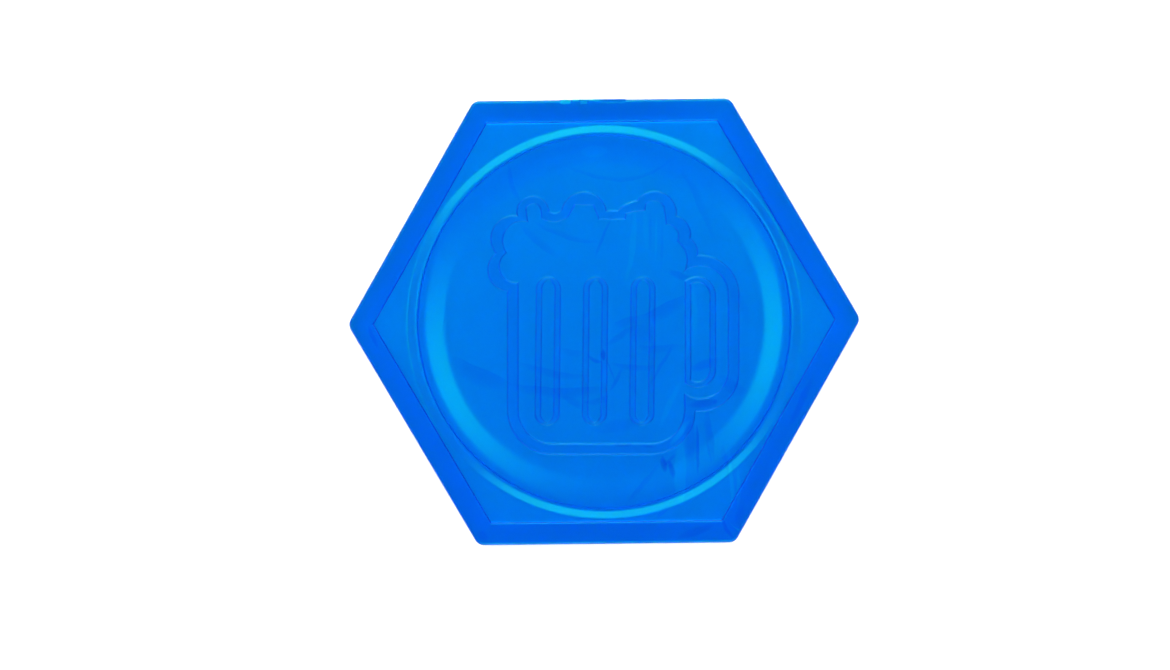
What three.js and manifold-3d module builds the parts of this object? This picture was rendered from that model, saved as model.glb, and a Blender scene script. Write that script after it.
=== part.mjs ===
// A drink token: one injection-moulded hexagonal disc of tinted transparent plastic, in millimetres.
// It lies flat, +Z up, with its pictogram on top. The origin is the middle of the underside.
// Two opposite corners of the hexagon are on the X axis, and the pictogram's top points to +Y.

import * as THREE from 'three';
import { mergeVertices } from 'three/addons/utils/BufferGeometryUtils.js';
import Module from 'manifold-3d';

const wasm = await Module();
wasm.setup();

// Driving dimensions.
const ACROSS_FLATS = 26.0;
const THICKNESS = 2.0;
const CORNER_RADIUS = 0.6;
const EDGE_ROUND = 0.16;

const RIM_WIDTH = 1.27;
const RIM_STEP = 0.2;
const RIM_DRAFT = 0.06;

const RING_INNER_RADIUS = 9.1;
const CREST_INSIDE = 0.15;
const CREST_OUTSIDE = 0.08;
const RING_OUTER_RADIUS = 11.62;
const RING_HEIGHT = 0.16;
const RING_INNER_BLEND = 0.45;
const RING_OUTER_BLEND = 0.14;
const CREASE_RADIUS = 10.9;
const BACK_CREASE_RADIUS = 11.06;
const CREASE_WIDTH = 0.1;
const CREASE_DEPTH = 0.05;

const GATE_FROM_X = -2.4;
const GATE_TO_X = 1.4;
const GATE_HEIGHT = 1.2;
const GATE_UNDER_FLUSH = 0.02;

const PICTOGRAM_RELIEF = 0.14;
const PICTOGRAM_TURN = THREE.MathUtils.degToRad(-0.64);
const STROKE = 0.61;
const THIN_STROKE = 0.31;

// Mug body, in the pictogram's own plane: its middle is the token's middle.
const MUG_LEFT = -5.65;
const MUG_RIGHT = 5.33;
const MUG_BASE = -7.75;
const MUG_CORNER = 2.61;

// Handle: a D of two round shoulders joined by a straight grip, round a smaller D for the finger hole.
const HANDLE_CENTRE_X = 5.62;
const HANDLE_TOP_Y = 1.62;
const HANDLE_LOW_Y = -2.97;
const HANDLE_RADIUS = 2.26;
const HANDLE_INNER_LOW_Y = -2.84;
const HOLE_CENTRE_X = 5.45;
const HOLE_LEFT = 4.75;
const HOLE_TOP_Y = 1.57;
const HOLE_LOW_Y = -2.78;
const HOLE_RADIUS = 1.06;

// Upright flutes in the glass.
const FLUTE_CENTRES_X = [-3.3, -0.53, 2.24];
const FLUTE_LEAN = THREE.MathUtils.degToRad(-0.6);
const FLUTE_WIDTH = 1.4;
const FLUTE_TOP_Y = 2.62;
const FLUTE_BASE_Y = -6.05;
const FLUTE_END_STROKE = 0.17;

const ARC_DIVISIONS = 4;
const RING_SEGMENTS = 120;
const SINK = 0.1;

const FACE_Z = THICKNESS - RIM_STEP;
const HALF_FLATS = ACROSS_FLATS / 2;
const SIXTH_TURN = Math.PI / 3;
const TWELFTH_TURN = Math.PI / 6;

const bluePlastic = new THREE.MeshStandardMaterial({
  name: 'blue_plastic',
  color: 0x0078e7,
  roughness: 0.2,
  metalness: 0,
});

// A closed geometry as a solid that can be joined and cut.
function toSolid(geometry) {
  geometry.deleteAttribute('normal');
  geometry.deleteAttribute('uv');
  const merged = mergeVertices(geometry);
  return new wasm.Manifold(new wasm.Mesh({
    numProp: 3,
    vertProperties: new Float32Array(merged.attributes.position.array),
    triVerts: new Uint32Array(merged.index.array),
  }));
}

// The solid's triangles as a geometry.
function toGeometry(solid) {
  const mesh = solid.getMesh();
  const geometry = new THREE.BufferGeometry();
  geometry.setAttribute('position', new THREE.BufferAttribute(mesh.vertProperties, 3));
  geometry.setIndex(new THREE.BufferAttribute(mesh.triVerts, 1));
  geometry.computeVertexNormals();
  return geometry;
}

// An outline of straight runs and arcs.
class Outline extends THREE.Shape {
  // An arc from the current point through a middle point to an end point.
  bow(midX, midY, endX, endY) {
    const { x, y } = this.currentPoint;
    const turn = 2 * ((midX - x) * (endY - y) - (midY - y) * (endX - x));
    const midSquare = (midX - x) ** 2 + (midY - y) ** 2;
    const endSquare = (endX - x) ** 2 + (endY - y) ** 2;
    const centreX = x + ((endY - y) * midSquare - (midY - y) * endSquare) / turn;
    const centreY = y + ((midX - x) * endSquare - (endX - x) * midSquare) / turn;
    const radius = Math.hypot(x - centreX, y - centreY);
    const from = Math.atan2(y - centreY, x - centreX);
    const to = Math.atan2(endY - centreY, endX - centreX);
    this.absarc(centreX, centreY, radius, from, to, turn < 0);
    return this;
  }
}

// An outline as a stroke that stands on the upper face.
function raised(outline) {
  const geometry = new THREE.ExtrudeGeometry(outline, {
    depth: SINK + PICTOGRAM_RELIEF,
    bevelEnabled: false,
    curveSegments: ARC_DIVISIONS,
  });
  return geometry.translate(0, 0, FACE_Z - SINK);
}

// The slab: a hexagon with round corners and rounded upper and lower edges.
function slab() {
  const outline = new THREE.Shape();
  const centreDistance = (HALF_FLATS - CORNER_RADIUS) / Math.cos(TWELFTH_TURN);
  for (let corner = 0; corner < 6; corner += 1) {
    const angle = corner * SIXTH_TURN;
    outline.absarc(
      centreDistance * Math.cos(angle),
      centreDistance * Math.sin(angle),
      CORNER_RADIUS,
      angle - TWELFTH_TURN,
      angle + TWELFTH_TURN,
      false,
    );
  }
  const geometry = new THREE.ExtrudeGeometry(outline, {
    depth: THICKNESS - 2 * EDGE_ROUND,
    bevelEnabled: true,
    bevelThickness: EDGE_ROUND,
    bevelSize: EDGE_ROUND,
    bevelOffset: -EDGE_ROUND,
    bevelSegments: 3,
    curveSegments: ARC_DIVISIONS,
  });
  return toSolid(geometry.translate(0, 0, EDGE_ROUND));
}

// The shallow hexagonal recess inside the rim, with drafted walls, opening upwards.
function recess() {
  const toCorner = 1 / Math.cos(TWELFTH_TURN);
  const floorRadius = (HALF_FLATS - RIM_WIDTH - RIM_DRAFT) * toCorner;
  const rise = 2 * RIM_STEP;
  const mouthRadius = floorRadius + 2 * RIM_DRAFT * toCorner;
  const geometry = new THREE.CylinderGeometry(mouthRadius, floorRadius, rise, 6);
  geometry.rotateX(Math.PI / 2);
  geometry.rotateZ(TWELFTH_TURN);
  geometry.translate(0, 0, FACE_Z + rise / 2);
  return geometry;
}

// An even slope between two flats, with a softer facet at each end as wide as the blend.
function slope(fromRadius, fromZ, toRadius, toZ, blend) {
  const easeZ = (toZ - fromZ) * (blend / 2) / (toRadius - fromRadius - blend);
  return [
    new THREE.Vector2(fromRadius, fromZ),
    new THREE.Vector2(fromRadius + blend, fromZ + easeZ),
    new THREE.Vector2(toRadius - blend, toZ - easeZ),
    new THREE.Vector2(toRadius, toZ),
  ];
}

// The low round moulding that frames the picture: a long gentle slope up to a narrow flat crest
// with a fine crease in it, and a short steeper slope down to the field near the rim.
function ring(creaseRadius) {
  const crestZ = FACE_Z + RING_HEIGHT;
  const inner = slope(
    RING_INNER_RADIUS,
    FACE_Z,
    creaseRadius - CREST_INSIDE,
    crestZ,
    RING_INNER_BLEND,
  );
  const outer = slope(
    creaseRadius + CREST_OUTSIDE,
    crestZ,
    RING_OUTER_RADIUS,
    FACE_Z,
    RING_OUTER_BLEND,
  );
  const profile = [
    new THREE.Vector2(RING_INNER_RADIUS, FACE_Z - SINK),
    new THREE.Vector2(RING_OUTER_RADIUS, FACE_Z - SINK),
    ...outer.reverse(),
    new THREE.Vector2(creaseRadius + CREASE_WIDTH / 2, crestZ),
    new THREE.Vector2(creaseRadius, crestZ - CREASE_DEPTH),
    new THREE.Vector2(creaseRadius - CREASE_WIDTH / 2, crestZ),
    ...inner.reverse(),
    new THREE.Vector2(RING_INNER_RADIUS, FACE_Z - SINK),
  ];
  return new THREE.LatheGeometry(profile, RING_SEGMENTS).rotateX(Math.PI / 2);
}

// The same feature on the underside.
function turnedOver(geometry) {
  return geometry.clone().rotateX(Math.PI).translate(0, 0, THICKNESS);
}

// The stub where the gate was cut off, in the upper half of the +Y side: it fills the edge's
// rounding and ends just under flush.
function gateStub() {
  const depth = 2 * EDGE_ROUND;
  const geometry = new THREE.BoxGeometry(GATE_TO_X - GATE_FROM_X, depth, GATE_HEIGHT);
  return toSolid(geometry.translate(
    (GATE_FROM_X + GATE_TO_X) / 2,
    HALF_FLATS - GATE_UNDER_FLUSH - depth / 2,
    THICKNESS - GATE_UNDER_FLUSH - GATE_HEIGHT / 2,
  ));
}

// The outer edge of the mug: base, handle and, anticlockwise from the handle, the lobes of the foam.
function mugOutside() {
  const outline = new Outline();
  const cornerLeft = MUG_LEFT + MUG_CORNER;
  const cornerRight = MUG_RIGHT - MUG_CORNER;
  const cornerY = MUG_BASE + MUG_CORNER;
  outline.moveTo(MUG_LEFT, 1.8);
  outline.lineTo(MUG_LEFT, cornerY);
  outline.absarc(cornerLeft, cornerY, MUG_CORNER, Math.PI, 1.5 * Math.PI, false);
  outline.absarc(cornerRight, cornerY, MUG_CORNER, 1.5 * Math.PI, 2 * Math.PI, false);
  outline.lineTo(MUG_RIGHT, HANDLE_LOW_Y - HANDLE_RADIUS);
  outline.absarc(HANDLE_CENTRE_X, HANDLE_LOW_Y, HANDLE_RADIUS, 1.5 * Math.PI, 2 * Math.PI, false);
  outline.absarc(HANDLE_CENTRE_X, HANDLE_TOP_Y, HANDLE_RADIUS, 0, Math.PI / 2, false);
  outline.lineTo(5.45, HANDLE_TOP_Y + HANDLE_RADIUS);
  outline.bow(5.37, 4.49, 5.02, 4.87);
  outline.bow(4.83, 5.78, 4.21, 6.19);
  outline.bow(3.05, 7.63, 1.93, 7.1);
  outline.bow(1.3, 6.9, 0.82, 6.5);
  outline.lineTo(0.12, 6.5);
  outline.bow(-1.2, 7.6, -2.48, 6.55);
  outline.bow(-2.82, 6.36, -3.24, 6.47);
  outline.bow(-4.16, 7.35, -5.08, 6.2);
  outline.bow(-6.44, 5.55, -6.33, 4.03);
  outline.bow(-6.7, 2.55, MUG_LEFT, 1.8);
  return outline;
}

// The inner edge of the stroke: the same way round, one stroke further in.
function mugInside() {
  const outline = new Outline();
  const radius = MUG_CORNER - STROKE;
  const left = MUG_LEFT + STROKE;
  const right = MUG_RIGHT - STROKE;
  const cornerY = MUG_BASE + MUG_CORNER;
  const handleRadius = HANDLE_RADIUS - STROKE;
  const joinAngle = Math.acos((right - HANDLE_CENTRE_X) / handleRadius);
  outline.moveTo(left, 2.3);
  outline.lineTo(left, cornerY);
  outline.absarc(left + radius, cornerY, radius, Math.PI, 1.5 * Math.PI, false);
  outline.absarc(right - radius, cornerY, radius, 1.5 * Math.PI, 2 * Math.PI, false);
  outline.absarc(HANDLE_CENTRE_X, HANDLE_INNER_LOW_Y, handleRadius, -joinAngle, 0, false);
  outline.absarc(HANDLE_CENTRE_X, HANDLE_TOP_Y, handleRadius, 0, joinAngle, false);
  outline.bow(4.8, 4.0, 4.3, 4.72);
  outline.bow(4.3, 5.3, 3.65, 5.7);
  outline.lineTo(3.5, 6.75);
  outline.bow(2.97, 7.08, 2.44, 6.9);
  outline.lineTo(2.38, 6.53);
  outline.lineTo(1.7, 6.46);
  outline.lineTo(1.27, 6.33);
  outline.lineTo(1.22, 6.02);
  outline.lineTo(-0.3, 6.0);
  outline.lineTo(-0.62, 6.83);
  outline.lineTo(-1.7, 6.87);
  outline.lineTo(-2.12, 6.15);
  outline.bow(-2.95, 5.86, -3.64, 6.05);
  outline.lineTo(-3.7, 6.6);
  outline.bow(-4.15, 6.92, -4.58, 6.6);
  outline.lineTo(-4.48, 5.86);
  outline.bow(-5.93, 4.9, -5.72, 4.04);
  outline.bow(-6.14, 3.2, left, 2.3);
  return outline;
}

// One upright flute, drawn about its own middle: a long ring whose stroke is thinner at its ends.
function flute() {
  const outer = FLUTE_WIDTH / 2;
  const inner = outer - THIN_STROKE;
  const endY = (FLUTE_TOP_Y - FLUTE_BASE_Y) / 2 - outer;
  const innerRise = outer - FLUTE_END_STROKE;
  const outline = new THREE.Shape();
  outline.absarc(0, endY, outer, 0, Math.PI, false);
  outline.absarc(0, -endY, outer, Math.PI, 2 * Math.PI, false);
  const hole = new THREE.Path();
  hole.absellipse(0, endY, inner, innerRise, 0, Math.PI, false);
  hole.absellipse(0, -endY, inner, innerRise, Math.PI, 2 * Math.PI, false);
  outline.holes.push(hole);
  return outline;
}

// One edge of the finger hole's D: straight against the glass on its left, round shoulders on its right.
function holeEdge(path, left, radius) {
  const joinAngle = Math.acos((left - HOLE_CENTRE_X) / radius);
  path.absarc(HOLE_CENTRE_X, HOLE_LOW_Y, radius, -joinAngle, 0, false);
  path.absarc(HOLE_CENTRE_X, HOLE_TOP_Y, radius, 0, joinAngle, false);
  return path;
}

function fingerHole() {
  const outline = holeEdge(new THREE.Shape(), HOLE_LEFT, HOLE_RADIUS);
  outline.holes.push(holeEdge(new THREE.Path(), HOLE_LEFT + THIN_STROKE, HOLE_RADIUS - THIN_STROKE));
  return outline;
}

// The raised pictogram: a beer mug with foam, drawn in strokes.
function pictogram() {
  const mug = mugOutside();
  mug.holes.push(mugInside());
  const strokes = [raised(mug), raised(fingerHole())];
  for (const centreX of FLUTE_CENTRES_X) {
    const stroke = raised(flute()).rotateZ(FLUTE_LEAN);
    strokes.push(stroke.translate(centreX, (FLUTE_TOP_Y + FLUTE_BASE_Y) / 2, 0));
  }
  return strokes.map((stroke) => toSolid(stroke.rotateZ(PICTOGRAM_TURN)));
}

function tokenBody() {
  let solid = slab();
  solid = solid.subtract(toSolid(recess()));
  solid = solid.subtract(toSolid(turnedOver(recess())));
  solid = solid.add(toSolid(ring(CREASE_RADIUS)));
  solid = solid.add(toSolid(turnedOver(ring(BACK_CREASE_RADIUS))));
  solid = solid.add(gateStub());
  for (const stroke of pictogram()) {
    solid = solid.add(stroke);
  }
  return solid;
}

const token = new THREE.Mesh(toGeometry(tokenBody()), bluePlastic);
token.name = 'token_body';

const object = new THREE.Group();
object.add(token);

export default object;
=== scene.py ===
"""A drink token: a hexagonal disc of tinted transparent plastic, lying on a pale studio floor."""
import math

import bpy
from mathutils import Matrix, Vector, noise
from mathutils.geometry import normal as normal_of, tessellate_polygon


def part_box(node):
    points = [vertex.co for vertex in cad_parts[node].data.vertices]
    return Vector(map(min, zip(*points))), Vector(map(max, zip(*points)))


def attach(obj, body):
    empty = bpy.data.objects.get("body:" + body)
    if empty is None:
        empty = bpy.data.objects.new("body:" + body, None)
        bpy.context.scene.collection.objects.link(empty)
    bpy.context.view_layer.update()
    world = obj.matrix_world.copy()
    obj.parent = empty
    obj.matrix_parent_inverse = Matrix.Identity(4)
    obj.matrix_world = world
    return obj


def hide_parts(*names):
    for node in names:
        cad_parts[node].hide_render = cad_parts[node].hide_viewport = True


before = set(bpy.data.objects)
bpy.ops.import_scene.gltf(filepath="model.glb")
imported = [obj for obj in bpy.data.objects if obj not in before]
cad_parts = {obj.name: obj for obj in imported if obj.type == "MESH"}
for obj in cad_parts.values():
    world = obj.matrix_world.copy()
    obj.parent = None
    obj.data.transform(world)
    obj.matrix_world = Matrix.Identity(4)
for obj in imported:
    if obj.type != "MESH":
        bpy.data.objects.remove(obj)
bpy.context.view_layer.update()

MM = 0.001
SIXTH_TURN = math.tau / 6
TWELFTH_TURN = math.tau / 12
LOW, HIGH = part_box("token_body")
HALF_FLATS = (HIGH[1] - LOW[1]) / 2 / MM
THICKNESS = (HIGH[2] - LOW[2]) / MM

# Token, in millimetres.
CORNER_RADIUS = 0.6
EDGE_ROUND = 0.16
RIM_WIDTH = 1.27
RIM_STEP = 0.2
RIM_WALL_STEEP = math.radians(75)
RIM_WALL_CROWN = 0.09
RIM_WALL_FOOT = 0.02
FACE_Z = THICKNESS - RIM_STEP

RING_INNER = 9.1
CREST_INSIDE = 0.15
CREST_OUTSIDE = 0.08
RING_OUTER = 11.62
RING_HEIGHT = 0.16
CREST_Z = FACE_Z + RING_HEIGHT
RING_INNER_BLEND = 0.45
RING_OUTER_BLEND = 0.18
CREASE_RADIUS = 10.9
CREASE_WIDTH = 0.1
CREASE_DEPTH = 0.05
BACK_CREASE_DEPTH = 0.03
BACK_CREASE_RADIUS = 11.06

GATE_FROM_X = -2.4
GATE_TO_X = 1.4
GATE_HEIGHT = 1.2
GATE_PROUD = 0.02
GATE_ROUGH = 0.025
GATE_GRAIN = 4.0
CHIP_ROUGH = 8.0
CHIP_PART = 0.6

# Chips along the gate's upper edge: from x, to x, width in from the edge, drop at the edge.
GATE_CHIPS = (
    (-2.45, -1.8, 0.27, 0.08),
    (-1.8, -1.3, 0.09, 0.03),
    (-1.3, -0.85, 0.26, 0.06),
    (-0.85, -0.05, 0.07, 0.03),
    (-0.05, 1.45, 0.24, 0.025),
)

# Pictogram, in millimetres, in its own upright plane.
PICTOGRAM_RELIEF = 0.14
PICTOGRAM_Z = FACE_Z + PICTOGRAM_RELIEF
PICTOGRAM_TURN = math.radians(-0.64)
STROKE = 0.61
STROKE_STEEP = math.radians(65)
STROKE_RADIUS = 0.075
THIN_STROKE = 0.31
MUG_LEFT = -5.65
MUG_RIGHT = 5.33
MUG_BASE = -7.75
MUG_CORNER = 2.61
HANDLE_X = 5.62
HANDLE_TOP = 1.62
HANDLE_LOW = -2.97
HANDLE_INNER_LOW = -2.84
HANDLE_RADIUS = 2.26
HOLE_X = 5.45
HOLE_LEFT = 4.75
HOLE_TOP = 1.57
HOLE_LOW = -2.78
HOLE_RADIUS = 1.06
FLUTE_CENTRES_X = (-3.3, -0.53, 2.24)
FLUTE_LEAN = math.radians(-0.6)
FLUTE_WIDTH = 1.4
FLUTE_TOP = 2.62
FLUTE_BASE = -6.05
FLUTE_END_STROKE = 0.17
FLUTE_TIP_RADIUS = 0.22

# Fineness of the mesh. The +Y side, which has the gate, is the one that ends at corner GATE_CORNER.
ARC_STEP = math.radians(6)
FILLET_STEPS = 4
EDGE_STEPS = 5
CORNER_STEPS = 8
RING_STEPS = 240
GATE_CORNER = 2
GATE_SIDE_STEPS = 150
WALL_LEVELS = 14

# Where an outline is shifted, pieces that meet at less than TANGENT_LIMIT count as tangent, and
# MITRE_LIMIT keeps the corner between them from running away.
TANGENT_LIMIT = math.radians(10)
MITRE_LIMIT = 0.5

# Tolerances, in millimetres. Points closer than WELD become one.
WELD = 1e-5
GATE_SLACK = 1e-4
LEAST_LINE = 1e-6
LEAST_RADIUS = 1e-4
LEAST_AREA = 1e-12
PARALLEL = 1e-9

# Plastic. A colour's share says how strongly the tint's density takes it away.
BASE_RED, BASE_GREEN, BASE_BLUE = 0.02, 0.85, 0.9
GREEN_SHARE = 1.0
BLUE_SHARE = 0.12
SPECULAR_TINT = (0.005, 1.0, 0.4, 1.0)
ROUGHNESS = 0.276
IOR = 1.58
ABSORB = (0.0, 0.87, 0.99, 1.0)
ABSORB_DENSITY = 4000.0

# Extra density. THICK_TINT is for the rim and, in part, the strokes: it takes green away, and
# THICK_BLUE says how much blue it gives back. The next two are painted shade: the first darkens
# slopes that face +X or -X, and the second the rim's inner walls, which are found by their normal's z.
THICK_TINT = 0.62
THICK_FROM = 0.09
THICK_BLUE = 1.0
RING_INNER_MARGIN = 0.1
RING_OUTER_MARGIN = 0.04
FLANK_PAINTED_SHADE = 0.6
WALL_PAINTED_SHADE = 1.5
WALL_FROM = 0.38
WALL_TO = 0.24
WALL_MARGIN = 0.02

# How far the pigment's flow wanders, faint clouds, fine grain, and how much paler the tint grows
# towards +Y.
WARP = 0.22
WARP_SCALE = 0.55
WARP_DETAIL = 2.0
CLOUD = 0.08
CLOUD_SCALE = 0.35
CLOUD_DETAIL = 3.0
GRAIN = 0.055
GRAIN_SCALE = 6.0
GRAIN_DETAIL = 2.0
GRADIENT = 0.006

# Streaks: from x, y to x, y, how far the middle bows to the left, half width on the left and on the
# right (mm), and depth. A negative depth is paler.
STREAKS = (
    (-9.0, -1.9, -5.3, -3.6, 0.0, 0.1, 1.1, 0.26),
    (-5.9, -3.45, 0.5, -3.95, -0.12, 0.1, 0.75, 0.26),
    (-5.3, -2.25, -0.7, -3.15, -0.15, 0.12, 0.4, 0.2),
    (-2.6, -1.5, -1.0, -1.7, -0.1, 0.1, 0.4, 0.14),
    (-0.12, -1.45, -0.06, -2.3, 0.0, 0.16, 0.16, 1.1),
    (-1.05, -1.8, -0.05, -2.3, -0.15, 0.14, 0.14, 0.45),
    (0.05, -2.0, 0.6, -3.6, 0.0, 0.09, 0.09, 0.3),
    (1.1, -2.7, 0.25, -4.2, 0.0, 0.14, 0.14, 0.28),
    (0.1, -2.45, 3.3, -2.6, -0.1, 0.1, 0.35, 0.2),
    (1.6, -1.2, 4.8, -1.4, -0.2, 0.1, 0.5, 0.18),
    (-0.2, -1.4, 2.1, -0.1, 0.0, 0.14, 0.3, 0.22),
    (0.5, -0.1, 2.1, 0.35, 0.0, 0.14, 0.6, 0.24),
    (1.7, 0.25, 5.0, 1.7, -0.1, 0.1, 0.9, 0.28),
    (1.3, -0.6, 3.1, -0.6, 0.0, 0.8, 0.8, 0.14),
    (4.1, -1.3, 2.5, -4.0, 0.0, 0.14, 0.14, 0.26),
    (4.9, -2.9, 6.8, -2.2, 0.0, 0.35, 0.45, 0.32),
    (4.7, -4.85, 6.7, -4.85, 0.0, 0.3, 0.3, 0.46),
    (6.25, -4.8, 6.6, -4.85, 0.0, 0.16, 0.16, 0.35),
    (5.36, -5.8, 5.42, -9.1, 0.0, 0.13, 0.13, 0.75),
    (5.95, -6.9, 6.2, -8.5, 0.0, 0.08, 0.12, 0.2),
    (6.8, -7.2, 7.25, -8.8, 0.0, 0.1, 0.3, 0.16),
    (2.9, -11.6, 3.8, -10.8, 0.0, 0.25, 0.1, 0.25),
    (4.95, -5.2, 5.1, -8.8, 0.0, 0.35, 0.5, 0.3),
    (5.95, -5.0, 6.35, -8.4, 0.05, 0.14, 0.4, 0.3),
    (3.25, -7.8, 3.5, -8.95, 0.0, 0.22, 0.22, 0.8),
    (3.3, -8.6, 4.1, -7.7, 0.0, 0.14, 0.14, 0.28),
    (3.65, -8.1, 4.0, -9.35, 0.0, 0.22, 0.18, 0.6),
    (3.2, -8.0, 4.0, -8.7, 0.0, 0.2, 0.2, 0.3),
    (3.1, -8.2, 1.1, -10.8, 0.0, 0.3, 0.1, 0.2),
    (0.6, 6.2, -0.55, 3.7, -0.05, 0.13, 0.13, 0.26),
    (-4.2, 6.1, 0.0, 4.6, -0.4, 0.3, 0.1, 0.18),
    (-4.9, 5.8, -2.6, 3.7, -0.15, 0.5, 0.1, 0.16),
    (-2.8, 9.5, 4.7, 9.9, -1.4, 0.25, 0.1, 0.15),
    (-5.55, 9.6, -4.85, 6.9, 0.0, 0.09, 0.3, 0.16),
    (4.5, 9.0, 6.6, 4.5, 0.1, 0.4, 0.15, 0.14),
    (3.7, 3.0, 5.2, 2.5, 0.0, 0.15, 0.35, 0.32),
    (6.6, -3.2, 8.5, -4.3, 0.0, 0.3, 0.7, 0.16),
    (6.9, 2.4, 8.6, -0.6, 0.25, 0.4, 0.4, 0.1),
    (2.85, 6.7, 2.72, 4.0, 0.0, 0.08, 0.14, 0.12),
    (3.15, 6.4, 3.0, 3.4, 0.0, 0.1, 0.1, -0.14),
    (3.5, 6.0, 3.35, 2.6, 0.0, 0.1, 0.16, 0.1),
    (-2.6, -4.2, -1.2, -5.2, 0.0, 0.35, 0.2, 0.18),
    (-1.3, -4.8, 0.35, -4.3, -0.1, 0.14, 0.3, 0.2),
    (-1.0, -6.4, 2.6, -5.8, 0.0, 0.5, 0.5, 0.15),
    (0.4, -7.23, 1.8, -7.23, 0.0, 0.07, 0.16, 0.4),
    (1.9, -7.25, 3.0, -7.3, 0.0, 0.07, 0.16, 0.3),
    (1.9, 7.0, 1.3, 2.0, 0.2, 0.14, 0.3, -0.2),
    (2.5, 6.9, 2.5, 3.8, 0.0, 0.2, 0.2, -0.12),
    (3.7, -7.4, 5.1, -5.6, 0.0, 0.25, 0.2, -0.5),
    (4.4, -6.8, 4.4, -10.9, 0.0, 0.35, 0.5, -0.44),
    (5.12, 2.3, 5.25, -1.2, 0.0, 0.4, 0.1, -0.2),
    (4.95, 0.6, 4.8, -2.6, 0.0, 0.12, 0.12, -0.2),
    (-1.5, 9.95, 0.4, 10.0, 0.0, 0.4, 0.4, -0.24),
    (7.25, -7.4, 7.35, -11.4, 0.0, 0.22, 0.12, -0.28),
    (7.85, -8.4, 7.65, -11.2, 0.0, 0.16, 0.16, -0.24),
    (4.6, -3.3, 3.0, -6.4, 0.0, 0.25, 0.25, -0.14),
    (-7.6, 12.35, 7.6, 12.35, 0.0, 0.6, 0.6, 0.16),
    (-13.75, 0.0, -13.2, -1.5, 0.0, 0.17, 0.17, 0.4),
    (-7.6, -12.1, -6.9, -12.8, 0.0, 0.3, 0.3, 0.28),
    (12.3, -3.2, 10.6, -6.4, 0.0, 0.3, 0.2, 0.32),
    (6.4, -11.9, 4.1, -12.85, 0.0, 0.25, 0.35, 0.34),
    (6.85, -11.4, 7.5, -12.95, -0.14, 0.13, 0.16, 0.45),
    (8.0, -10.8, 7.65, -12.1, 0.0, 0.3, 0.3, 0.2),
    (7.15, -11.75, 8.25, -11.5, -0.72, 0.11, 0.11, -0.6),
)

# Studio, in metres and degrees.
PAPER = (0.67, 0.67, 0.67, 1.0)
PAPER_ROUGHNESS = 0.8
FLOOR_Z = -0.00002
STUDIO_RADIUS = 0.85
STUDIO_HEIGHT = 0.35
STUDIO_CURVE = 0.3
CURVE_STEPS = 12
STUDIO_STEPS = 96
BOX_DISTANCE = 0.6

# Soft boxes: name, azimuth, elevation, width, height, radiance.
SOFT_BOXES = (
    ("box_north_a", 76, 51, 0.36, 0.19, 8.5),
    ("box_north_b", 122, 51, 0.36, 0.19, 8.5),
    ("box_south_a", 255, 51, 0.3, 0.19, 9.0),
    ("box_south_b", 300, 51, 0.3, 0.19, 8.2),
    ("box_east", 21, 74.8, 0.14, 0.1, 16),
    ("box_west", 174, 74.8, 0.14, 0.1, 16),
    ("box_north_high", 98, 61, 0.5, 0.14, 3.2),
    ("box_south_high", 277, 61, 0.45, 0.14, 2.6),
    ("box_east_side", 0, 51, 0.45, 0.2, 2.2),
    ("box_west_side", 183, 51, 0.45, 0.2, 2.2),
    ("box_north_low", 95, 26, 0.5, 0.22, 9),
    ("box_south_low", 275, 26, 0.4, 0.2, 5),
)

# The sky is even, and dark round the zenith: from and to are the upright part of the direction.
WORLD_STRENGTH = 0.3
DARK_FROM = 0.8
DARK_TO = 0.92

# Camera, straight above. FRAME_WIDTH is the picture's width at the token's upper side, and VIEW_RIGHT
# and VIEW_UP move the camera along the picture's own axes.
CAMERA_HEIGHT = 0.6
FRAME_WIDTH = 0.06846
SENSOR = 36.0
CAMERA_ROLL = math.radians(-0.64)
VIEW_RIGHT = -0.00112
VIEW_UP = -0.00077


# ---------------------------------------------------------------- outlines

def around(angle):
    """The unit vector at an angle from +X."""
    return Vector((math.cos(angle), math.sin(angle)))


def right_of(heading):
    return Vector((heading.y, -heading.x))


class Line:
    """A straight piece of an outline, drawn with count steps."""

    def __init__(self, start, end, count=1):
        self.start = Vector(start)
        self.end = Vector(end)
        self.count = count
        self.start_heading = self.end_heading = (self.end - self.start).normalized()

    def shifted(self, distance):
        right = right_of(self.start_heading) * distance
        return Line(self.start + right, self.end + right, self.count)

    def between(self, start, end):
        right = right_of(self.start_heading)
        return [(start.lerp(end, i / self.count), right) for i in range(self.count + 1)]


class Arc:
    """A round piece of an outline, anticlockwise where its angle grows."""

    def __init__(self, centre, radius, from_angle, to_angle, count=None):
        self.centre = Vector(centre)
        self.radius = radius
        self.from_angle = from_angle
        self.to_angle = to_angle
        self.count = count or max(2, math.ceil(abs(to_angle - from_angle) / ARC_STEP))

    @property
    def way(self):
        return 1 if self.to_angle > self.from_angle else -1

    def point(self, angle):
        return self.centre + around(angle) * self.radius

    @property
    def start(self):
        return self.point(self.from_angle)

    @property
    def end(self):
        return self.point(self.to_angle)

    def heading(self, angle):
        return -right_of(around(angle)) * self.way

    @property
    def start_heading(self):
        return self.heading(self.from_angle)

    @property
    def end_heading(self):
        return self.heading(self.to_angle)

    def shifted(self, distance):
        radius = max(self.radius + distance * self.way, LEAST_RADIUS)
        return Arc(self.centre, radius, self.from_angle, self.to_angle, self.count)

    def between(self, start, end):
        angles = []
        for point, near in ((start, self.from_angle), (end, self.to_angle)):
            offset = point - self.centre
            angle = math.atan2(offset.y, offset.x)
            angles.append(near + math.remainder(angle - near, math.tau))
        samples = []
        for i in range(self.count + 1):
            angle = angles[0] + (angles[1] - angles[0]) * i / self.count
            samples.append((self.point(angle), around(angle) * self.way))
        samples[0] = (start, samples[0][1])
        samples[-1] = (end, samples[-1][1])
        return samples


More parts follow.
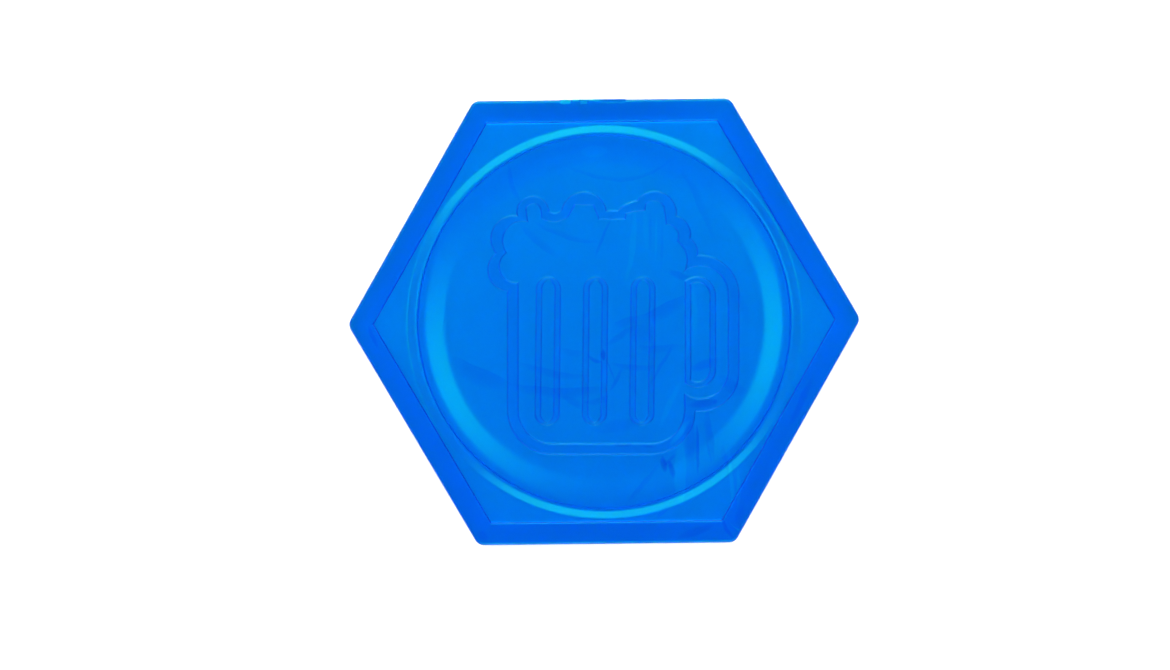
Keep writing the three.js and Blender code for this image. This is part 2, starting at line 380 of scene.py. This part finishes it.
def meeting(first, second, near):
    """The point where two shifted pieces cross, nearest to a point, or None."""
    points = []
    if isinstance(first, Arc) and isinstance(second, Line):
        first, second = second, first
    if isinstance(second, Line):
        a, b = first.start, first.end - first.start
        c, d = second.start, second.end - second.start
        cross = b.x * d.y - b.y * d.x
        if abs(cross) > PARALLEL:
            t = ((c.x - a.x) * d.y - (c.y - a.y) * d.x) / cross
            points.append(a + b * t)
    elif isinstance(first, Line):
        heading = first.start_heading
        foot = first.start + heading * heading.dot(second.centre - first.start)
        room = second.radius ** 2 - (foot - second.centre).length_squared
        if room >= 0:
            along = heading * math.sqrt(room)
            points += [foot + along, foot - along]
    else:
        gap = second.centre - first.centre
        length = gap.length
        if length > PARALLEL:
            along = (length ** 2 + first.radius ** 2 - second.radius ** 2) / (2 * length)
            room = first.radius ** 2 - along ** 2
            if room >= 0:
                foot = first.centre + gap * (along / length)
                side = Vector((-gap.y, gap.x)) * (math.sqrt(room) / length)
                points += [foot + side, foot - side]
    return min(points, key=lambda p: (p - near).length, default=None)


class Outline:
    """A closed run of lines and arcs, anticlockwise, that can be shifted outwards."""

    def __init__(self, start=None):
        self.at = Vector(start) if start else None
        self.pieces = []

    def line(self, x, y, count=1):
        end = Vector((x, y))
        if (end - self.at).length > LEAST_LINE:
            self.pieces.append(Line(self.at, end, count))
        self.at = end
        return self

    def arc(self, x, y, radius, from_angle, to_angle, count=None, line_count=1):
        """An arc, with a line of line_count steps that leads to it."""
        piece = Arc((x, y), radius, from_angle, to_angle, count)
        if self.at is not None:
            self.line(*piece.start, line_count)
        self.pieces.append(piece)
        self.at = piece.end
        return self

    def bow(self, mid_x, mid_y, end_x, end_y):
        """An arc through a middle point to an end point."""
        start, mid, end = self.at, Vector((mid_x, mid_y)), Vector((end_x, end_y))
        m, e = mid - start, end - start
        turn = 2 * (m.x * e.y - m.y * e.x)
        centre = start + Vector((
            (e.y * m.length_squared - m.y * e.length_squared) / turn,
            (m.x * e.length_squared - e.x * m.length_squared) / turn,
        ))
        from_angle = math.atan2(*(start - centre).yx)
        to_angle = math.atan2(*(end - centre).yx)
        sweep = (to_angle - from_angle) % math.tau
        if turn < 0:
            sweep -= math.tau
        return self.arc(*centre, (start - centre).length, from_angle, from_angle + sweep)

    def close(self):
        self.line(*self.pieces[0].start)
        return self

    def samples(self, distance):
        """For each piece, its points and right-hand normals, shifted outwards by a distance."""
        shifted = [piece.shifted(distance) for piece in self.pieces]
        joints = []
        for i, piece in enumerate(self.pieces):
            before = self.pieces[i - 1]
            into, out = before.end_heading, piece.start_heading
            middle = right_of(into) + right_of(out)
            mitre = piece.start + middle * (2 * distance / max(middle.length_squared, MITRE_LIMIT))
            if into.angle(out, 0) > TANGENT_LIMIT:
                mitre = meeting(shifted[i - 1], shifted[i], mitre) or mitre
            joints.append(mitre)
        count = len(joints)
        return [s.between(joints[i], joints[(i + 1) % count]) for i, s in enumerate(shifted)]


def moved(samples, turn=0.0, x=0.0, y=0.0):
    """Samples turned about the origin and then moved."""
    c, s = math.cos(turn), math.sin(turn)

    def spun(v):
        return Vector((v.x * c - v.y * s, v.x * s + v.y * c))

    return [[(spun(p) + Vector((x, y)), spun(n)) for p, n in piece] for piece in samples]


# ---------------------------------------------------------------- solid

class Solid:
    """Faces with a normal at each corner, welded into one mesh."""

    def __init__(self):
        self.points = []
        self.index = {}
        self.faces = []
        self.normals = []

    def vertex(self, point):
        key = tuple(round(c / WELD) for c in point)
        if key not in self.index:
            self.index[key] = len(self.points)
            self.points.append(Vector(point))
        return self.index[key]

    def face(self, corners, flip=False):
        """corners: (point, normal) each, anticlockwise seen from outside."""
        if flip:
            corners = corners[::-1]
        indices = [self.vertex(point) for point, _ in corners]
        kept = [i for i in range(len(indices)) if indices[i] != indices[i - 1]]
        if len(set(indices)) < 3 or len(kept) < 3:
            return
        self.faces.append([indices[i] for i in kept])
        self.normals += [corners[i][1] for i in kept]


class Side:
    """One side of the token. The lower side is built as the upper one, and mirrored as it is placed."""

    def __init__(self, solid, top):
        self.solid = solid
        self.top = top

    def place(self, x, y, z, normal):
        if not self.top:
            z = THICKNESS - z
            normal = Vector((normal[0], normal[1], -normal[2]))
        return Vector((x, y, z)), normal

    def loop(self, outline, offset, z, tilt, shape=None, **move):
        """An outline's points and normals at one offset and height. shape can move each point."""
        pieces = moved(outline.samples(offset), **move)
        result = []
        for piece in pieces:
            run = []
            for point, right in piece:
                normal = Vector((right.x * math.sin(tilt), right.y * math.sin(tilt), math.cos(tilt)))
                point, normal = self.place(point.x, point.y, z, normal)
                run.append((shape(point) if shape else point, normal))
            result.append(run)
        return result

    def band(self, outline, profile, **move):
        """Faces along an outline after a profile: (offset outwards, z, tilt), from inside out.
        Returns the points of the innermost and of the outermost loop."""
        loops = [self.loop(outline, d, z, tilt, **move) for d, z, tilt in profile]
        for inner, outer in zip(loops, loops[1:]):
            for run_in, run_out in zip(inner, outer):
                for i in range(len(run_in) - 1):
                    corners = [run_in[i], run_out[i], run_out[i + 1], run_in[i + 1]]
                    self.solid.face(corners, flip=not self.top)
        return self.ring_points(loops[0]), self.ring_points(loops[-1])

    @staticmethod
    def ring_points(loop):
        return [point for run in loop for point, _ in run[:-1]]

    def fill(self, z, *rings):
        """A flat face bounded by rings of points, the first outermost."""
        rings = [self.clean(ring) for ring in rings]
        points = [p for ring in rings for p in ring]
        up = Vector((0, 0, 1 if self.top else -1))
        for triangle in tessellate_polygon([[Vector((p.x, p.y, 0)) for p in ring] for ring in rings]):
            a, b, c = (points[i] for i in triangle)
            area = (b - a).cross(c - a).z
            if abs(area) < LEAST_AREA:
                continue
            corners = [(p, up) for p in (a, b, c)]
            self.solid.face(corners, flip=(area < 0) == self.top)

    @staticmethod
    def clean(ring):
        kept = []
        for p in ring:
            if not kept or (p - kept[-1]).length > WELD:
                kept.append(p)
        if (kept[0] - kept[-1]).length <= WELD:
            kept.pop()
        return kept


def step_profile(low, high, steep, crown, foot):
    """A moulded step from high, at offset < 0, to low, at offset > 0: (offset, z, tilt).
    crown and foot are the radii of its convex and concave ends."""
    rise = high - low - (crown + foot) * (1 - math.cos(steep))
    half = (rise / math.tan(steep) + (crown + foot) * math.sin(steep)) / 2
    profile = []
    angles = [steep * i / FILLET_STEPS for i in range(FILLET_STEPS + 1)]
    for angle in angles:
        profile.append((-half + crown * math.sin(angle), high - crown * (1 - math.cos(angle)), angle))
    for angle in angles[::-1]:
        profile.append((half - foot * math.sin(angle), low + foot * (1 - math.cos(angle)), angle))
    return profile


def inward(profile):
    """A profile turned round, so that its high end is outside."""
    return [(-offset, z, -tilt) for offset, z, tilt in profile[::-1]]


def ramp_profile(from_offset, from_z, to_offset, to_z, blend):
    """An even slope between two flats, rounded at both ends over a blend: (offset, z, tilt)."""
    run = to_offset - from_offset
    slope = (to_z - from_z) / (run - blend)
    rows = []
    for i in range(FILLET_STEPS + 1):
        x = blend * i / FILLET_STEPS
        rows.append((x, slope * x * x / (2 * blend), slope * x / blend))
    profile = [(from_offset + x, from_z + z, -math.atan(s)) for x, z, s in rows]
    profile += [(to_offset - x, to_z - z, -math.atan(s)) for x, z, s in rows[::-1]]
    return profile


# ---------------------------------------------------------------- the token's outlines

def hexagon(apothem):
    """A hexagon with sharp corners. apothem: from its centre to the middle of a side."""
    radius = apothem / math.cos(TWELFTH_TURN)
    corners = [around(i * SIXTH_TURN) * radius for i in range(6)]
    outline = Outline(corners[0])
    for corner in corners[1:]:
        outline.line(*corner)
    return outline.close()


def outer_edge():
    """The token's outer edge: a hexagon with round corners."""
    outline = Outline()
    distance = (HALF_FLATS - CORNER_RADIUS) / math.cos(TWELFTH_TURN)
    for i in range(6):
        angle = i * SIXTH_TURN
        x, y = around(angle) * distance
        span = (angle - TWELFTH_TURN, angle + TWELFTH_TURN)
        line_count = GATE_SIDE_STEPS if i == GATE_CORNER else 1
        outline.arc(x, y, CORNER_RADIUS, *span, CORNER_STEPS, line_count)
    return outline.close()


def mug_outside():
    """Base, handle and, anticlockwise from the handle, the lobes of the foam."""
    corner = MUG_BASE + MUG_CORNER
    outline = Outline((MUG_LEFT, 1.8))
    outline.line(MUG_LEFT, corner)
    outline.arc(MUG_LEFT + MUG_CORNER, corner, MUG_CORNER, math.pi, 1.5 * math.pi)
    outline.arc(MUG_RIGHT - MUG_CORNER, corner, MUG_CORNER, 1.5 * math.pi, math.tau)
    outline.line(MUG_RIGHT, HANDLE_LOW - HANDLE_RADIUS)
    outline.arc(HANDLE_X, HANDLE_LOW, HANDLE_RADIUS, -math.pi / 2, 0)
    outline.arc(HANDLE_X, HANDLE_TOP, HANDLE_RADIUS, 0, math.pi / 2)
    outline.line(5.45, HANDLE_TOP + HANDLE_RADIUS)
    outline.bow(5.37, 4.49, 5.02, 4.87)
    outline.bow(4.83, 5.78, 4.21, 6.19)
    outline.bow(3.05, 7.63, 1.93, 7.1)
    outline.bow(1.3, 6.9, 0.82, 6.5)
    outline.line(0.12, 6.5)
    outline.bow(-1.2, 7.6, -2.48, 6.55)
    outline.bow(-2.82, 6.36, -3.24, 6.47)
    outline.bow(-4.16, 7.35, -5.08, 6.2)
    outline.bow(-6.44, 5.55, -6.33, 4.03)
    outline.bow(-6.7, 2.55, MUG_LEFT, 1.8)
    return outline


def mug_inside():
    """The same way round, one stroke further in."""
    left, right = MUG_LEFT + STROKE, MUG_RIGHT - STROKE
    corner, radius = MUG_BASE + MUG_CORNER, MUG_CORNER - STROKE
    handle = HANDLE_RADIUS - STROKE
    join = math.acos((right - HANDLE_X) / handle)
    outline = Outline((left, 2.3))
    outline.line(left, corner)
    outline.arc(left + radius, corner, radius, math.pi, 1.5 * math.pi)
    outline.arc(right - radius, corner, radius, 1.5 * math.pi, math.tau)
    outline.arc(HANDLE_X, HANDLE_INNER_LOW, handle, -join, 0)
    outline.arc(HANDLE_X, HANDLE_TOP, handle, 0, join)
    outline.bow(4.8, 4.0, 4.3, 4.72)
    outline.bow(4.3, 5.3, 3.65, 5.7)
    outline.line(3.5, 6.75)
    outline.bow(2.97, 7.08, 2.44, 6.9)
    outline.line(2.38, 6.53)
    outline.line(1.7, 6.46)
    outline.line(1.27, 6.33)
    outline.line(1.22, 6.02)
    outline.line(-0.3, 6.0)
    outline.line(-0.62, 6.83)
    outline.line(-1.7, 6.87)
    outline.line(-2.12, 6.15)
    outline.bow(-2.95, 5.86, -3.64, 6.05)
    outline.line(-3.7, 6.6)
    outline.bow(-4.15, 6.92, -4.58, 6.6)
    outline.line(-4.48, 5.86)
    outline.bow(-5.93, 4.9, -5.72, 4.04)
    outline.bow(-6.14, 3.2, left, 2.3)
    return outline


def hole_edge(left, radius):
    """The finger hole's D: straight against the glass, round shoulders on its right."""
    join = math.acos((left - HOLE_X) / radius)
    outline = Outline()
    outline.arc(HOLE_X, HOLE_LOW, radius, -join, 0)
    outline.arc(HOLE_X, HOLE_TOP, radius, 0, join)
    return outline.close()


def flute_edge():
    """The outer edge of an upright flute, about the flute's own middle."""
    radius = FLUTE_WIDTH / 2
    end = (FLUTE_TOP - FLUTE_BASE) / 2 - radius
    outline = Outline()
    outline.arc(0, end, radius, 0, math.pi)
    outline.arc(0, -end, radius, math.pi, math.tau)
    return outline.close()


def flute_hole():
    """The inner edge of a flute. Each end is a small round tip between two shoulders."""
    half = FLUTE_WIDTH / 2 - THIN_STROKE
    end = (FLUTE_TOP - FLUTE_BASE) / 2 - FLUTE_WIDTH / 2
    up = FLUTE_WIDTH / 2 - FLUTE_END_STROKE - FLUTE_TIP_RADIUS
    shoulder = (half ** 2 + up ** 2 - FLUTE_TIP_RADIUS ** 2) / (2 * (half - FLUTE_TIP_RADIUS))
    side = shoulder - half
    turn = math.atan2(up, side)
    outline = Outline()
    outline.arc(-side, end, shoulder, 0, turn)
    outline.arc(0, end + up, FLUTE_TIP_RADIUS, turn, math.pi - turn)
    outline.arc(side, end, shoulder, math.pi - turn, math.pi)
    outline.arc(side, -end, shoulder, math.pi, math.pi + turn)
    outline.arc(0, -end - up, FLUTE_TIP_RADIUS, math.pi + turn, math.tau - turn)
    outline.arc(-side, -end, shoulder, math.tau - turn, math.tau)
    return outline.close()


# ---------------------------------------------------------------- the token

def edge_rounding():
    """The quarter round from the rim down to the side: (offset, z, tilt)."""
    profile = []
    for i in range(EDGE_STEPS + 1):
        angle = math.pi / 2 * i / EDGE_STEPS
        drop = EDGE_ROUND * (1 - math.cos(angle))
        profile.append((EDGE_ROUND * (math.sin(angle) - 1), THICKNESS - drop, angle))
    return profile


def rim(side):
    """The rounded edge, the rim and its inner wall. Returns the points at the wall's foot."""
    rim_outer, _ = side.band(outer_edge(), edge_rounding(), shape=gate_shape)
    wall = step_profile(FACE_Z, THICKNESS, RIM_WALL_STEEP, RIM_WALL_CROWN, RIM_WALL_FOOT)
    foot, rim_inner = side.band(hexagon(HALF_FLATS - RIM_WIDTH), inward(wall))
    side.fill(THICKNESS, rim_outer, rim_inner)
    return foot


def ring(side, crease_radius, crease_depth):
    """The round moulding with its crease. Returns the points at its inner and outer foot."""
    axis = Outline().arc(0, 0, 0, 0, math.tau, RING_STEPS)  # a point, so offsets from it are radii
    low = CREST_Z - crease_depth
    steep = math.atan2(crease_depth, CREASE_WIDTH / 2)
    near, far = crease_radius - CREASE_WIDTH / 2, crease_radius + CREASE_WIDTH / 2
    rise = ramp_profile(RING_INNER, FACE_Z, crease_radius - CREST_INSIDE, CREST_Z, RING_INNER_BLEND)
    fall = ramp_profile(crease_radius + CREST_OUTSIDE, CREST_Z, RING_OUTER, FACE_Z, RING_OUTER_BLEND)
    inner_foot, _ = side.band(axis, rise + [(near, CREST_Z, 0)])
    side.band(axis, [(near, CREST_Z, steep), (crease_radius, low, steep)])
    side.band(axis, [(crease_radius, low, -steep), (far, CREST_Z, -steep)])
    _, outer_foot = side.band(axis, [(far, CREST_Z, 0)] + fall)
    return inner_foot, outer_foot


def rim_and_ring(side, crease_radius, crease_depth):
    """One side of the token from its edge in to the disc. Returns the points round the disc."""
    field_edge = rim(side)
    disc_edge, ring_edge = ring(side, crease_radius, crease_depth)
    side.fill(FACE_Z, field_edge, ring_edge)
    return disc_edge


def stroke(side, outer, inner, **move):
    """A raised stroke between two outlines. Returns the points at its outer and inner foot."""
    wall = step_profile(FACE_Z, PICTOGRAM_Z, STROKE_STEEP, STROKE_RADIUS, STROKE_RADIUS)
    outer_top, outer_foot = side.band(outer, wall, **move)
    inner_foot, inner_top = side.band(inner, inward(wall), **move)
    side.fill(PICTOGRAM_Z, outer_top, inner_top)
    return outer_foot, inner_foot


def flute_move(centre_x):
    """Where a flute stands: upright in the pictogram's plane but for its lean."""
    centre_y = (FLUTE_TOP + FLUTE_BASE) / 2
    c, s = math.cos(PICTOGRAM_TURN), math.sin(PICTOGRAM_TURN)
    return {
        "turn": PICTOGRAM_TURN + FLUTE_LEAN,
        "x": centre_x * c - centre_y * s,
        "y": centre_x * s + centre_y * c,
    }


def pictogram(side, disc_edge):
    """The raised strokes, and the flats of the disc between them."""
    turn = {"turn": PICTOGRAM_TURN}
    mug_foot, glass_edge = stroke(side, mug_outside(), mug_inside(), **turn)
    side.fill(FACE_Z, disc_edge, mug_foot)
    hole = hole_edge(HOLE_LEFT, HOLE_RADIUS)
    finger = hole_edge(HOLE_LEFT + THIN_STROKE, HOLE_RADIUS - THIN_STROKE)
    islands = [stroke(side, hole, finger, **turn)]
    for centre_x in FLUTE_CENTRES_X:
        islands.append(stroke(side, flute_edge(), flute_hole(), **flute_move(centre_x)))
    for _, inner_foot in islands:
        side.fill(FACE_Z, inner_foot)
    side.fill(FACE_Z, glass_edge, *(outer_foot for outer_foot, _ in islands))


def in_gate(x, y, z):
    """Whether a point lies in the scar of the gate, on the +Y side."""
    high = z > THICKNESS - GATE_HEIGHT
    return high and GATE_FROM_X < x < GATE_TO_X and y > HALF_FLATS - EDGE_ROUND - GATE_SLACK


def gate_shape(point):
    """Where a point of the outer edge lies. In the rough scar where the moulding's gate was cut off,
    the edge stands a little proud and has chips instead of its rounding."""
    x, y, z = point
    if not in_gate(x, y, z):
        return point
    rough = noise.noise(point * GATE_GRAIN) * GATE_ROUGH
    proud = HALF_FLATS + GATE_PROUD + rough
    if z < THICKNESS - EDGE_ROUND - GATE_SLACK:
        return Vector((x, proud, z))
    width, drop = next((w, d) for start, end, w, d in GATE_CHIPS if start <= x < end)
    width *= 1 + CHIP_ROUGH * rough
    part = math.asin(min(1, max(0, (y - HALF_FLATS) / EDGE_ROUND + 1))) / (math.pi / 2)
    across = min(1, part / CHIP_PART)
    below = max(0, part - CHIP_PART) / (1 - CHIP_PART)
    y = across * proud + (1 - across) * (HALF_FLATS - width)
    return Vector((x, y, THICKNESS - drop * across - (EDGE_ROUND - drop) * below))


def roughen_gate(solid):
    """Gives the faces of the gate's scar flat shading."""
    corner = 0
    for face in solid.faces:
        points = [solid.points[i] for i in face]
        if in_gate(*(sum(points, Vector()) / len(points))):
            solid.normals[corner:corner + len(face)] = [normal_of(points)] * len(face)
        corner += len(face)


def token_mesh():
    """The whole token: its two sides, and the upright wall round them."""
    solid = Solid()
    top = Side(solid, True)
    bottom = Side(solid, False)
    pictogram(top, rim_and_ring(top, CREASE_RADIUS, CREASE_DEPTH))
    bottom.fill(FACE_Z, rim_and_ring(bottom, BACK_CREASE_RADIUS, BACK_CREASE_DEPTH))
    level = (THICKNESS - 2 * EDGE_ROUND) / WALL_LEVELS
    wall = [(0, THICKNESS - EDGE_ROUND - level * i, math.pi / 2) for i in range(WALL_LEVELS + 1)]
    top.band(outer_edge(), wall, shape=gate_shape)
    roughen_gate(solid)
    mesh = bpy.data.meshes.new("token_plastic")
    mesh.from_pydata([p * MM for p in solid.points], [], solid.faces)
    mesh.validate(verbose=True)
    mesh.shade_smooth()
    mesh.normals_split_custom_set([n.normalized() for n in solid.normals])
    return mesh


# ---------------------------------------------------------------- materials

class Graph:
    """Short ways to add nodes to a material or to the sky."""

    def __init__(self, tree):
        self.tree = tree

    def feed(self, socket, value):
        if isinstance(value, bpy.types.NodeSocket):
            self.tree.links.new(value, socket)
        else:
            socket.default_value = value

    def node(self, kind, **settings):
        node = self.tree.nodes.new(kind)
        for key, value in settings.items():
            setattr(node, key, value)
        return node

    def math(self, operation, *values, clamp=False):
        node = self.node("ShaderNodeMath", operation=operation, use_clamp=clamp)
        for socket, value in zip(node.inputs, values):
            self.feed(socket, value)
        return node.outputs[0]

    def vector(self, operation, *values):
        node = self.node("ShaderNodeVectorMath", operation=operation)
        for socket, value in zip(node.inputs, values):
            self.feed(socket, value)
        return node.outputs["Value" if operation == "DOT_PRODUCT" else "Vector"]

    def ramp(self, value, low, high, to_low, to_high, kind="SMOOTHSTEP"):
        node = self.node("ShaderNodeMapRange", interpolation_type=kind)
        for socket, number in zip(node.inputs, (value, low, high, to_low, to_high)):
            self.feed(socket, number)
        return node.outputs[0]

    def noise(self, point, scale, detail):
        node = self.node("ShaderNodeTexNoise")
        for name, value in (("Vector", point), ("Scale", scale), ("Detail", detail)):
            self.feed(node.inputs[name], value)
        return node

    def parts(self, vector):
        """A vector's x, y and z."""
        node = self.node("ShaderNodeSeparateXYZ")
        self.feed(node.inputs[0], vector)
        return node.outputs

    def even_noise(self, point, scale, detail, strength):
        """Noise between -strength and strength."""
        value = self.noise(point, scale, detail).outputs["Fac"]
        return self.math("MULTIPLY_ADD", value, 2 * strength, -strength)


def streak(graph, point, from_x, from_y, to_x, to_y, bow, crisp, soft, depth):
    """How much denser the tint is along one bowed streak. point: (x, y, 1) in millimetres.
    u runs from -1 to 1 along the streak, and v is the distance to the left of it."""
    start, end = Vector((from_x, from_y)), Vector((to_x, to_y))
    middle = (start + end) / 2
    half = (end - start) / 2
    along = half / half.length_squared
    across = Vector((-half.y, half.x)).normalized()
    u = graph.vector("DOT_PRODUCT", point, (along.x, along.y, -along.dot(middle)))
    v = graph.vector("DOT_PRODUCT", point, (across.x, across.y, -across.dot(middle) - bow))
    uu = graph.math("MULTIPLY", u, u)
    if bow:
        v = graph.math("MULTIPLY_ADD", uu, bow, v)
    if soft == crisp:
        v = graph.math("MULTIPLY", v, 1 / crisp)
    else:
        left = graph.math("MULTIPLY", v, 1 / crisp)
        right = graph.math("MULTIPLY", v, -1 / soft)
        v = graph.math("MAXIMUM", left, right)
    rr = graph.math("MULTIPLY_ADD", v, v, uu)
    return graph.ramp(rr, 1.0, 0.0, 0.0, depth)


def pigment(graph, place):
    """Streaks of denser and paler pigment, and faint clouds between them."""
    warp = graph.noise(place, WARP_SCALE, WARP_DETAIL).outputs["Color"]
    shift = graph.vector("MULTIPLY_ADD", warp, (2 * WARP,) * 3, (-WARP,) * 3)
    warped = graph.vector("ADD", place, shift)
    x, y, _ = graph.parts(warped)
    flat = graph.node("ShaderNodeCombineXYZ")
    graph.feed(flat.inputs[0], x)
    graph.feed(flat.inputs[1], y)
    flat.inputs[2].default_value = 1.0
    # The tint grows paler towards +Y.
    total = graph.math("MULTIPLY", y, -GRADIENT)
    for row in STREAKS:
        total = graph.math("ADD", total, streak(graph, flat.outputs[0], *row))
    clouds = graph.even_noise(warped, CLOUD_SCALE, CLOUD_DETAIL, CLOUD)
    grain = graph.even_noise(place, GRAIN_SCALE, GRAIN_DETAIL, GRAIN)
    return graph.math("ADD", graph.math("ADD", total, clouds), grain)


def thick_tint(graph, x, y, z):
    """Density that grows with the thickness, but not on the ring."""
    thick = graph.ramp(z, FACE_Z + THICK_FROM, THICKNESS, 0.0, THICK_TINT, "LINEAR")
    square = graph.math("MULTIPLY_ADD", y, y, graph.math("MULTIPLY", x, x))
    inner_from, inner_to = RING_INNER - RING_INNER_MARGIN, RING_INNER + RING_INNER_MARGIN
    outer_from, outer_to = RING_OUTER - RING_OUTER_MARGIN, RING_OUTER + RING_OUTER_MARGIN
    inside = graph.ramp(square, inner_from ** 2, inner_to ** 2, 1.0, 0.0)
    outside = graph.ramp(square, outer_from ** 2, outer_to ** 2, 0.0, 1.0)
    return graph.math("MULTIPLY", thick, graph.math("ADD", inside, outside))


def add_painted_slope_shade(graph, density, normal, z):
    """Density plus painted shade: darker slopes that face sideways, and darker rim inner walls."""
    normal_x, _, normal_z = graph.parts(normal)
    # Painted shade: slopes that face +X or -X are darker.
    painted_flank_shade = graph.math("MULTIPLY", normal_x, normal_x)
    density = graph.math("MULTIPLY_ADD", painted_flank_shade, FLANK_PAINTED_SHADE, density)
    # Painted shade: the rim's steep inner walls are darker.
    upright = graph.math("ABSOLUTE", normal_z)
    wall = graph.ramp(upright, WALL_FROM, WALL_TO, 0.0, WALL_PAINTED_SHADE)
    above = graph.ramp(z, FACE_Z - WALL_MARGIN, FACE_Z, 0.0, 1.0)
    return graph.math("MULTIPLY_ADD", wall, above, density)


def passed(graph, density, share, base):
    """How much of a colour passes the tint."""
    power = graph.math("MULTIPLY", density, -share)
    return graph.math("MULTIPLY", graph.math("EXPONENT", power), base, clamp=True)


def plastic():
    """Clear plastic that absorbs red, with a surface tint that follows the pigment and the relief, and
    painted shade on slopes that face sideways and on the rim's inner walls.
    """
    material = bpy.data.materials.new("blue_plastic")
    material.use_nodes = True
    graph = Graph(material.node_tree)
    nodes = material.node_tree.nodes
    coordinates = graph.node("ShaderNodeTexCoord")
    place = graph.vector("SCALE", coordinates.outputs["Object"])
    place.node.inputs["Scale"].default_value = 1 / MM
    x, y, z = graph.parts(place)
    # The pigment's density, with painted shade added on sideways slopes and steep walls.
    density = add_painted_slope_shade(graph, pigment(graph, place), coordinates.outputs["Normal"], z)
    thick = thick_tint(graph, x, y, z)
    green = graph.math("ADD", density, thick)
    blue = graph.math("MULTIPLY_ADD", thick, -THICK_BLUE, density)
    colour = graph.node("ShaderNodeCombineColor")
    colour.inputs[0].default_value = BASE_RED
    graph.feed(colour.inputs[1], passed(graph, green, GREEN_SHARE, BASE_GREEN))
    graph.feed(colour.inputs[2], passed(graph, blue, BLUE_SHARE, BASE_BLUE))
    shader = nodes["Principled BSDF"]
    graph.feed(shader.inputs["Base Color"], colour.outputs[0])
    shader.inputs["Specular Tint"].default_value = SPECULAR_TINT
    shader.inputs["Roughness"].default_value = ROUGHNESS
    shader.inputs["IOR"].default_value = IOR
    shader.inputs["Transmission Weight"].default_value = 1.0
    absorption = nodes.new("ShaderNodeVolumeAbsorption")
    absorption.inputs["Color"].default_value = ABSORB
    absorption.inputs["Density"].default_value = ABSORB_DENSITY
    graph.feed(nodes["Material Output"].inputs["Volume"], absorption.outputs["Volume"])
    return material


def paper():
    material = bpy.data.materials.new("studio_paper")
    material.use_nodes = True
    shader = material.node_tree.nodes["Principled BSDF"]
    shader.inputs["Base Color"].default_value = PAPER
    shader.inputs["Roughness"].default_value = PAPER_ROUGHNESS
    return material


# ---------------------------------------------------------------- studio

def studio_profile():
    """The floor's outer part, its curve and the wall: (radius, height), from inside out."""
    profile = []
    for i in range(CURVE_STEPS + 1):
        angle = math.pi / 2 * i / CURVE_STEPS
        out = STUDIO_RADIUS - STUDIO_CURVE + STUDIO_CURVE * math.sin(angle)
        profile.append((out, STUDIO_CURVE * (1 - math.cos(angle))))
    return profile + [(STUDIO_RADIUS, STUDIO_HEIGHT)]


def studio():
    """The pale floor, curved up into a low wall all round."""
    profile = studio_profile()
    points, faces = [(0.0, 0.0, FLOOR_Z)], []
    for radius, height in profile:
        for i in range(STUDIO_STEPS):
            angle = math.tau * i / STUDIO_STEPS
            points.append((radius * math.cos(angle), radius * math.sin(angle), height + FLOOR_Z))
    for i in range(STUDIO_STEPS):
        here, after = 1 + i, 1 + (i + 1) % STUDIO_STEPS
        faces.append((0, here, after))
        for row in range(len(profile) - 1):
            low, high = row * STUDIO_STEPS, (row + 1) * STUDIO_STEPS
            faces.append((here + low, here + high, after + high, after + low))
    mesh = bpy.data.meshes.new("studio_floor")
    mesh.from_pydata(points, [], faces)
    mesh.shade_smooth()
    floor = bpy.data.objects.new("studio_floor", mesh)
    bpy.context.collection.objects.link(floor)
    floor.data.materials.append(paper())


def soft_box(name, azimuth, elevation, width, height, radiance):
    """A rectangular lamp that faces the token."""
    data = bpy.data.lights.new(name, "AREA")
    data.shape = "RECTANGLE"
    data.size, data.size_y = width, height
    data.energy = radiance * math.pi * width * height
    light = bpy.data.objects.new(name, data)
    bpy.context.collection.objects.link(light)
    a, e = math.radians(azimuth), math.radians(elevation)
    away = Vector((math.cos(a) * math.cos(e), math.sin(a) * math.cos(e), math.sin(e)))
    light.location = away * BOX_DISTANCE
    light.rotation_mode = "QUATERNION"
    light.rotation_quaternion = away.to_track_quat("Z", "Y")


def sky():
    world = bpy.data.worlds.new("studio")
    world.use_nodes = True
    background = world.node_tree.nodes["Background"]
    background.inputs["Color"].default_value = (1, 1, 1, 1)
    graph = Graph(world.node_tree)
    direction = graph.node("ShaderNodeTexCoord").outputs["Generated"]
    _, _, upright = graph.parts(direction)
    strength = graph.ramp(upright, DARK_FROM, DARK_TO, WORLD_STRENGTH, 0.0)
    graph.feed(background.inputs["Strength"], strength)
    bpy.context.scene.world = world


def camera():
    data = bpy.data.cameras.new("camera")
    data.sensor_width = SENSOR
    data.lens = SENSOR * (CAMERA_HEIGHT - THICKNESS * MM) / FRAME_WIDTH
    cam = bpy.data.objects.new("camera", data)
    bpy.context.collection.objects.link(cam)
    right = around(CAMERA_ROLL)
    shift = right * VIEW_RIGHT - right_of(right) * VIEW_UP
    cam.location = (shift.x, shift.y, CAMERA_HEIGHT)
    cam.rotation_euler = (0, 0, CAMERA_ROLL)
    bpy.context.scene.camera = cam


camera()
studio()
for box in SOFT_BOXES:
    soft_box(*box)
sky()

token = bpy.data.objects.new("token_plastic", token_mesh())
bpy.context.collection.objects.link(token)
token.data.materials.append(plastic())
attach(token, "root")
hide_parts("token_body")

scene = bpy.context.scene
scene.view_settings.view_transform = "Standard"
scene.view_settings.look = "None"
